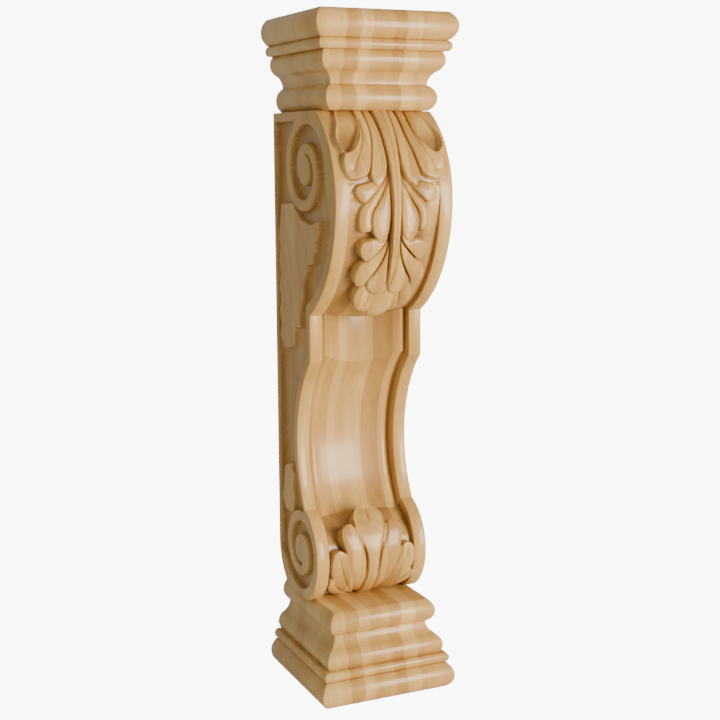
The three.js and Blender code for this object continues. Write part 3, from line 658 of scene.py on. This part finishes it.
# Front edges of the two leaves, as (forward, distance down from the top of the body).
UPPER_LEAF = ((22, 122), (66, 119), (94, 140), (126, 146), (157, 139), (158, 157), (148, 167), (146, 182),
              (138, 184), (136, 198), (118, 200), (113, 211), (101, 226), (102, 244), (93, 259), (86, 271),
              (89, 288), (69, 288), (63, 316), (30, 324))
LOWER_LEAF = ((22, 490), (41, 483), (56, 479), (50, 489), (58, 495), (53, 518), (59, 528), (52, 554),
              (25, 555))


def leaf_outline(front_edge):
    """The whole leaf: its front edge, and a zigzag up its back."""
    drops = np.arange(front_edge[-1][1] - TOOTH_STEP, front_edge[0][1] + 17, -TOOTH_STEP)
    back = [(TOOTH_NEAR if index % 2 == 0 else TOOTH_FAR, drop) for index, drop in enumerate(drops)]
    return np.array([(forward, BODY_TOP - drop) for forward, drop in (*front_edge, *back)])


# %% Side grid
SIDE_COLUMNS = 200

side_share = np.linspace(0, 1, SIDE_COLUMNS + 1)[1:]
edge_u, edge_z = front_u[:, :1], front_z[:, :1]
below_centre = np.clip(FOOT_HEIGHT - edge_z, 0, FOOT_RADIUS)
back_u = FOOT_FORWARD - np.sqrt(FOOT_RADIUS ** 2 - below_centre ** 2)
side_u = edge_u + (back_u - edge_u) * side_share
side_z = edge_z + 0 * side_u
sunk = inside_distance(side_u, side_z, field_outline())
for volute in (UPPER_VOLUTE, LOWER_VOLUTE):
    sunk = np.maximum(sunk, inside_distance(side_u, side_z, groove_outline(volute)))
depth = POCKET_DEPTH * ease(sunk, -0.5, 1.1)
for front_edge in (UPPER_LEAF, LOWER_LEAF):
    inside = inside_distance(side_u, side_z, leaf_outline(front_edge))
    flute_place = side_u + FLUTE_SLOPE * (side_z - BULGE_HEIGHT)
    flute = FLUTE_RISE * (1 + np.cos(2 * math.pi * flute_place / FLUTE_SPACING))
    leaf_depth = LEAF_SINK + flute * ease(inside, 0, 8) - 0.6 * ease(inside, 0, 3)
    raised = (np.minimum(leaf_depth, depth) - depth) * ease(inside, -0.3, 1.2)
    depth = np.where(inside > -0.3, depth + raised, depth)
side_x = BODY_HALF - depth
# Painted shade: the sunk ground is darker close to the walls round it.
side_painted_shade = 0.6 * ease(sunk, -0.4, 0.4) * (1 - 0.55 * ease(sunk, 1.5, 7)) * ease(depth, 2.0, 5.0)
print("side grid:", side_u.shape, "deepest", round(float(depth.max()), 1), "mm")

# %% [markdown]
# ## Closing the body
# Every row of the front, both sides and a plain back make one ring, and the rings are sewn into a closed
# skin. The skin is very fine everywhere, so a decimation keeps the triangles where the carving is.

# %% Sew the body
BODY_TRIANGLES = 190000
SHARP_DEGREES = 46
BACK_SHARES = (0.6, 0.2, -0.2, -0.6)

ring_count = front_u.shape[0]
back_shape = (ring_count, len(BACK_SHARES))
back_x = np.broadcast_to([BODY_HALF * share for share in BACK_SHARES], back_shape)
ring_x = np.hstack([np.broadcast_to(front_x, front_u.shape), side_x, back_x, -side_x[:, ::-1]])
ring_u = np.hstack([front_u, side_u, np.broadcast_to(back_u, back_shape), side_u[:, ::-1]])
ring_z = np.hstack([front_z, side_z, np.broadcast_to(edge_z, back_shape), side_z[:, ::-1]])
ring_size = ring_x.shape[1]
body_points = np.stack([ring_x, wall_y / MM - ring_u, ring_z], axis=-1).reshape(-1, 3) * MM

ring_index = np.arange(ring_count - 1)[:, None] * ring_size
near = np.arange(ring_size)[None]
far = np.roll(near, -1, axis=1)
quads = np.stack([ring_index + near, ring_index + ring_size + near, ring_index + ring_size + far,
                  ring_index + far], axis=-1).reshape(-1, 4)
faces = quads.tolist()
faces.append(list(range(ring_size)))
faces.append(list(range(ring_count * ring_size - 1, (ring_count - 1) * ring_size - 1, -1)))

body_mesh = bpy.data.meshes.new("carved_body")
body_mesh.from_pydata(body_points.tolist(), [], faces)
# Painted shade: each point keeps how much its recess is darkened, in the mesh attribute deep.
ring_painted_shade = np.hstack([front_painted_shade, side_painted_shade, np.zeros(back_shape), side_painted_shade[:, ::-1]])
painted_shade_values = body_mesh.attributes.new("deep", "FLOAT", "POINT").data
painted_shade_values.foreach_set("value", ring_painted_shade.reshape(-1).astype(np.float32))
rough_body = bpy.data.objects.new("carved_body_fine", body_mesh)
bpy.context.scene.collection.objects.link(rough_body)
thin = rough_body.modifiers.new("thin", "DECIMATE")
thin.ratio = min(1.0, BODY_TRIANGLES / (2 * len(quads)))
thin.use_collapse_triangulate = True
body_look = bpy.data.meshes.new_from_object(rough_body.evaluated_get(bpy.context.evaluated_depsgraph_get()))
bpy.data.objects.remove(rough_body)
carved_body = bpy.data.objects.new("carved_body", body_look)
bpy.context.scene.collection.objects.link(carved_body)
body_look.shade_smooth()
body_look.set_sharp_from_angle(angle=math.radians(SHARP_DEGREES))
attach(carved_body, "root")
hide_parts("scroll_body")
print("body:", len(body_look.polygons), "triangles from", 2 * len(quads), sorted(body_look.attributes.keys()))

# %% [markdown]
# ## Cap and base by rule
# Cap and base are the same moulding, one the other way up. The side profile is a line of points: how far
# the wood is set in, and how far it is from the block's outer face. A geometry-node tree stretches a
# square tube into a block and moves each of its rings to the next point of that line.

# %% Moulding profile
def arc_through(start, middle, end, count):
    """Points on the circle through three places, without the first of them."""
    ax, ay = start
    (bx, by), (cx, cy) = ((place[0] - ax, place[1] - ay) for place in (middle, end))
    turn = bx * cy - by * cx
    centre_x = (cy * (bx * bx + by * by) - by * (cx * cx + cy * cy)) / (2 * turn)
    centre_y = (bx * (cx * cx + cy * cy) - cx * (bx * bx + by * by)) / (2 * turn)
    radius = math.hypot(centre_x, centre_y)
    first = math.atan2(-centre_y, -centre_x)
    sweep = (math.atan2(cy - centre_y, cx - centre_x) - first) % (2 * math.pi)
    sweep = sweep if turn > 0 else sweep - 2 * math.pi
    return [(ax + centre_x + radius * math.cos(first + sweep * step / count),
             ay + centre_y + radius * math.sin(first + sweep * step / count)) for step in range(1, count + 1)]


BLOCK_CORNER, BLOCK_SHARP_DEGREES = 0.008, 30
block_height = total_height / MM - BODY_TOP
# Each row is an arc of the profile: its start, middle and end, and its number of points.
moulding_arcs = (
    ((-10, 0), (0, 17.8), (-9.5, 35.6), 18),
    ((-11.5, 35.6), (-6.1, 43.1), (-9.5, 49.6), 10),
    ((-16.5, 49.6), (-12.6, 62.1), (-23.1, 76.1), 12),
    ((-23.1, 76.1), (-28.8, 83.2), (-31, 91.7), 8),
    ((-31, 91.7), (-20.7, 108.5), (-29.7, block_height), 16),
)
profile = []
for start, middle, end, count in moulding_arcs:
    # An arc that doesn't begin where the last one ended begins after a flat step.
    if not profile or profile[-1][0] - start[0] > 1:
        profile.append(start)
    profile += arc_through(start, middle, end, count)
print("profile:", len(profile), "points")


# %% Moulding tree
def node(tree, kind, **values):
    """A node of that kind, with its sockets set by name or joined to another node's socket."""
    made = tree.nodes.new(kind)
    for name, value in values.items():
        socket = made.inputs[name.replace("_", " ")] if name.replace("_", " ") in made.inputs else None
        if socket is None:
            setattr(made, name, value)
        elif isinstance(value, bpy.types.NodeSocket):
            tree.links.new(value, socket)
        else:
            socket.default_value = value
    return made


def maths(tree, operation, first, second=0.0):
    made = tree.nodes.new("ShaderNodeMath")
    made.operation = operation
    for socket, value in zip(made.inputs, (first, second)):
        if isinstance(value, bpy.types.NodeSocket):
            tree.links.new(value, socket)
        else:
            socket.default_value = value
    return made.outputs[0]


def moulding_tree():
    tree = bpy.data.node_groups.new("moulding", "GeometryNodeTree")
    face = tree.interface
    face.new_socket(name="Profile", in_out="INPUT", socket_type="NodeSocketGeometry")
    for name in ("Width", "Depth", "Wall", "Outer Face", "Direction", "Corner"):
        face.new_socket(name=name, in_out="INPUT", socket_type="NodeSocketFloat")
    face.new_socket(name="Wood", in_out="INPUT", socket_type="NodeSocketMaterial")
    face.new_socket(name="Geometry", in_out="OUTPUT", socket_type="NodeSocketGeometry")
    given = tree.nodes.new("NodeGroupInput").outputs
    rows = node(tree, "GeometryNodeAttributeDomainSize", Geometry=given["Profile"]).outputs["Point Count"]
    path = node(tree, "GeometryNodeCurvePrimitiveLine", End=(0, 0, 1)).outputs["Curve"]
    path = node(tree, "GeometryNodeResampleCurve", Curve=path, Count=rows).outputs["Curve"]
    square = node(tree, "GeometryNodeCurvePrimitiveQuadrilateral", Width=1.0, Height=1.0).outputs["Curve"]
    fillet = node(tree, "GeometryNodeFilletCurve", Curve=square, Radius=given["Corner"])
    fillet.mode = "POLY"
    fillet.inputs["Count"].default_value = 3
    fillet = fillet.outputs["Curve"]
    tube = node(tree, "GeometryNodeCurveToMesh", Curve=path, Profile_Curve=fillet, Fill_Caps=True)
    at = tree.nodes.new("ShaderNodeSeparateXYZ")
    tree.links.new(tree.nodes.new("GeometryNodeInputPosition").outputs[0], at.inputs[0])
    ring = maths(tree, "ROUND", maths(tree, "MULTIPLY", at.outputs["Z"], maths(tree, "SUBTRACT", rows, 1.0)))
    sample = tree.nodes.new("GeometryNodeSampleIndex")
    sample.data_type = "FLOAT_VECTOR"
    tree.links.new(given["Profile"], sample.inputs["Geometry"])
    tree.links.new(tree.nodes.new("GeometryNodeInputPosition").outputs[0], sample.inputs["Value"])
    tree.links.new(ring, sample.inputs["Index"])
    point = tree.nodes.new("ShaderNodeSeparateXYZ")
    tree.links.new(sample.outputs["Value"], point.inputs[0])
    inset, rise = point.outputs["X"], point.outputs["Z"]
    across = maths(tree, "MULTIPLY", at.outputs["X"],
                   maths(tree, "ADD", given["Width"], maths(tree, "MULTIPLY", inset, 2.0)))
    out = maths(tree, "MULTIPLY", maths(tree, "SUBTRACT", 0.5, at.outputs["Y"]),
                maths(tree, "ADD", given["Depth"], inset))
    up = maths(tree, "ADD", given["Outer Face"], maths(tree, "MULTIPLY", given["Direction"], rise))
    place = node(tree, "ShaderNodeCombineXYZ", X=across, Y=maths(tree, "SUBTRACT", given["Wall"], out), Z=up)
    moved = node(tree, "GeometryNodeSetPosition", Geometry=tube.outputs[0], Position=place.outputs[0])
    downward = maths(tree, "LESS_THAN", given["Direction"], 0.0)
    turned = node(tree, "GeometryNodeFlipFaces", Mesh=moved.outputs[0], Selection=downward)
    whole = node(tree, "GeometryNodeRealizeInstances", Geometry=turned.outputs[0])
    painted = node(tree, "GeometryNodeSetMaterial", Geometry=whole.outputs[0], Material=given["Wood"])
    tree.links.new(painted.outputs[0], tree.nodes.new("NodeGroupOutput").inputs["Geometry"])
    return tree


moulding = moulding_tree()


def moulded_block(name, wood, outer_face, direction, cad_node):
    """The moulding as a plain mesh, its outer face at a height and growing up (1) or down (-1)."""
    line = bpy.data.meshes.new(name + "_line")
    line.from_pydata([(inset * MM, 0, rise * MM) for inset, rise in profile], [], [])
    source = bpy.data.objects.new(name + "_line", line)
    bpy.context.scene.collection.objects.link(source)
    rule = source.modifiers.new("moulding", "NODES")
    rule.node_group = moulding
    low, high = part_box(cad_node)
    values = {"Width": high.x - low.x, "Depth": high.y - low.y, "Wall": wall_y, "Outer Face": outer_face,
              "Direction": direction, "Corner": BLOCK_CORNER, "Wood": wood}
    for item in moulding.interface.items_tree:
        if item.name in values and item.in_out == "INPUT":
            rule[item.identifier] = values[item.name]
    source.update_tag()
    look = bpy.data.meshes.new_from_object(source.evaluated_get(bpy.context.evaluated_depsgraph_get()))
    bpy.data.objects.remove(source)
    look.name = name
    block = bpy.data.objects.new(name, look)
    bpy.context.scene.collection.objects.link(block)
    look.shade_smooth()
    look.set_sharp_from_angle(angle=math.radians(BLOCK_SHARP_DEGREES))
    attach(block, "root")
    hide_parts(cad_node)
    print(name, len(look.vertices), "points, box", [round(v, 4) for v in block.dimensions])
    return block


# %% [markdown]
# ## The timber
# The wood is a pale maple with a clear, semi-gloss finish, glued up from upright staves of uneven width
# and tone. The staves are bands across X, each a (width in millimetres, tone). Fine streaks run up the
# grain, broader clouds of amber lie over them, and a painted shade darkens the deep places of the
# carving.

# %% Timber material
BLOCK_STAVES = ((43, 0.70), (20, 0.42), (16, 0.76), (31, 0.56), (17, 0.41), (21, 0.74), (52, 0.54))
BODY_STAVES = ((36, 0.60), (18, 0.50), (14, 0.44), (13, 0.68), (20, 0.52), (19, 0.58), (26, 0.32),
               (13, 0.60), (41, 0.60))
STAVE_SPAN, STAVE_EDGE, STAVE_WANDER = 200, 0.004, 0.002
TONE_COLOURS = ((0.0, (0.25, 0.120, 0.026)), (0.35, (0.43, 0.228, 0.056)),
                (0.65, (0.58, 0.350, 0.102)), (1.0, (0.76, 0.525, 0.195)))
# Amber clouds, and the tint of the painted shade in the recesses.
AMBER, PAINTED_SHADE_TINT = (0.42, 0.205, 0.042, 1), (0.50, 0.44, 0.38, 1)
FIGURE_SHARE, STREAK_SHARE = 0.75, 0.28
FINISH = {"Roughness": 0.40, "Specular IOR Level": 0.22, "Coat Weight": 0.35, "Coat Roughness": 0.16}


def ramp(tree, factor, stops):
    """A colour ramp through (position, colour) stops."""
    made = tree.nodes.new("ShaderNodeValToRGB")
    while len(made.color_ramp.elements) < len(stops):
        made.color_ramp.elements.new(0.5)
    for element, (position, colour) in zip(made.color_ramp.elements, stops):
        element.position = position
        element.color = (*colour, 1)
    tree.links.new(factor, made.inputs[0])
    return made.outputs["Color"]


def mix(tree, kind, amount, first, second):
    made = tree.nodes.new("ShaderNodeMix")
    made.data_type, made.blend_type = "RGBA", kind
    for socket, value in ((made.inputs[0], amount), (made.inputs[6], first), (made.inputs[7], second)):
        if isinstance(value, bpy.types.NodeSocket):
            tree.links.new(value, socket)
        else:
            socket.default_value = value
    return made.outputs[2]


def stretched_noise(tree, place, stretch, scale, detail, roughness=0.5, distortion=0.0):
    scaled = node(tree, "ShaderNodeVectorMath", operation="MULTIPLY")
    tree.links.new(place, scaled.inputs[0])
    scaled.inputs[1].default_value = stretch
    noise = node(tree, "ShaderNodeTexNoise", Scale=scale, Detail=detail, Roughness=roughness,
                 Distortion=distortion)
    tree.links.new(scaled.outputs[0], noise.inputs["Vector"])
    return noise.outputs[0]


def swing(tree, noise, amount):
    """A noise between 0 and 1 as a swing to both sides of 0."""
    return maths(tree, "MULTIPLY", maths(tree, "SUBTRACT", noise, 0.5), amount)


def maple(name, staves, amber):
    """Maple staves side by side, starting at the left edge of the block."""
    paint = bpy.data.materials.new(name)
    paint.use_nodes = True
    tree = paint.node_tree
    surface = shader(paint, "BSDF_PRINCIPLED")
    place = tree.nodes.new("ShaderNodeTexCoord").outputs["Object"]
    split = node(tree, "ShaderNodeSeparateXYZ")
    tree.links.new(place, split.inputs[0])
    wander = stretched_noise(tree, place, (0, 0, 1), 3.0, 1)
    across = maths(tree, "ADD", split.outputs["X"], swing(tree, wander, STAVE_WANDER))
    share = maths(tree, "ADD", maths(tree, "MULTIPLY", across, 1 / (STAVE_SPAN * MM)), 0.5)
    stops, edge = [], 0.0
    for width, tone in staves:
        stops.append((min(edge + STAVE_EDGE, 1), (tone, tone, tone)))
        edge += width / STAVE_SPAN
        stops.append((min(edge - STAVE_EDGE, 1), (tone, tone, tone)))
    stave = ramp(tree, share, stops)
    streak = stretched_noise(tree, place, (1, 1, 0.03), 420, 4, 0.65)
    figure = stretched_noise(tree, place, (1, 0.7, 0.10), 34, 4, 0.55, 0.6)
    cloud = stretched_noise(tree, place, (1, 1, 0.35), 9, 3, 0.5, 0.4)
    tone = maths(tree, "ADD", stave, swing(tree, figure, FIGURE_SHARE))
    tone = maths(tree, "ADD", tone, swing(tree, streak, STREAK_SHARE))
    colour = ramp(tree, tone, TONE_COLOURS)
    patch = ramp(tree, cloud, ((0.50, (0, 0, 0)), (0.72, (amber, amber, amber))))
    colour = mix(tree, "MIX", patch, colour, AMBER)
    # Painted shade: the recesses of the carving darken by the mesh attribute deep.
    deep = node(tree, "ShaderNodeAttribute", attribute_name="deep").outputs["Fac"]
    colour = mix(tree, "MULTIPLY", deep, colour, PAINTED_SHADE_TINT)
    tree.links.new(colour, surface.inputs["Base Color"])
    for socket, value in FINISH.items():
        surface.inputs[socket].default_value = value
    bump = node(tree, "ShaderNodeBump", Strength=0.12, Distance=0.0004)
    tree.links.new(streak, bump.inputs["Height"])
    tree.links.new(bump.outputs[0], surface.inputs["Normal"])
    return paint


cap_wood = maple("cap_wood", BLOCK_STAVES, 0.35)
body_wood = maple("body_wood", BODY_STAVES, 0.45)
base_wood = maple("base_wood", BLOCK_STAVES, 0.35)
print("timber:", cap_wood.name, body_wood.name, base_wood.name)

# %% Cap and base
cap_block = moulded_block("moulded_cap", cap_wood, total_height, -1.0, "cap_moulding")
base_block = moulded_block("moulded_base", base_wood, 0.0, 1.0, "base_moulding")
carved_body.data.materials.append(body_wood)
for name, paint in (("cap_moulding", cap_wood), ("scroll_body", body_wood), ("base_moulding", base_wood)):
    frame["nodes"][name].data.materials.clear()
    frame["nodes"][name].data.materials.append(paint)
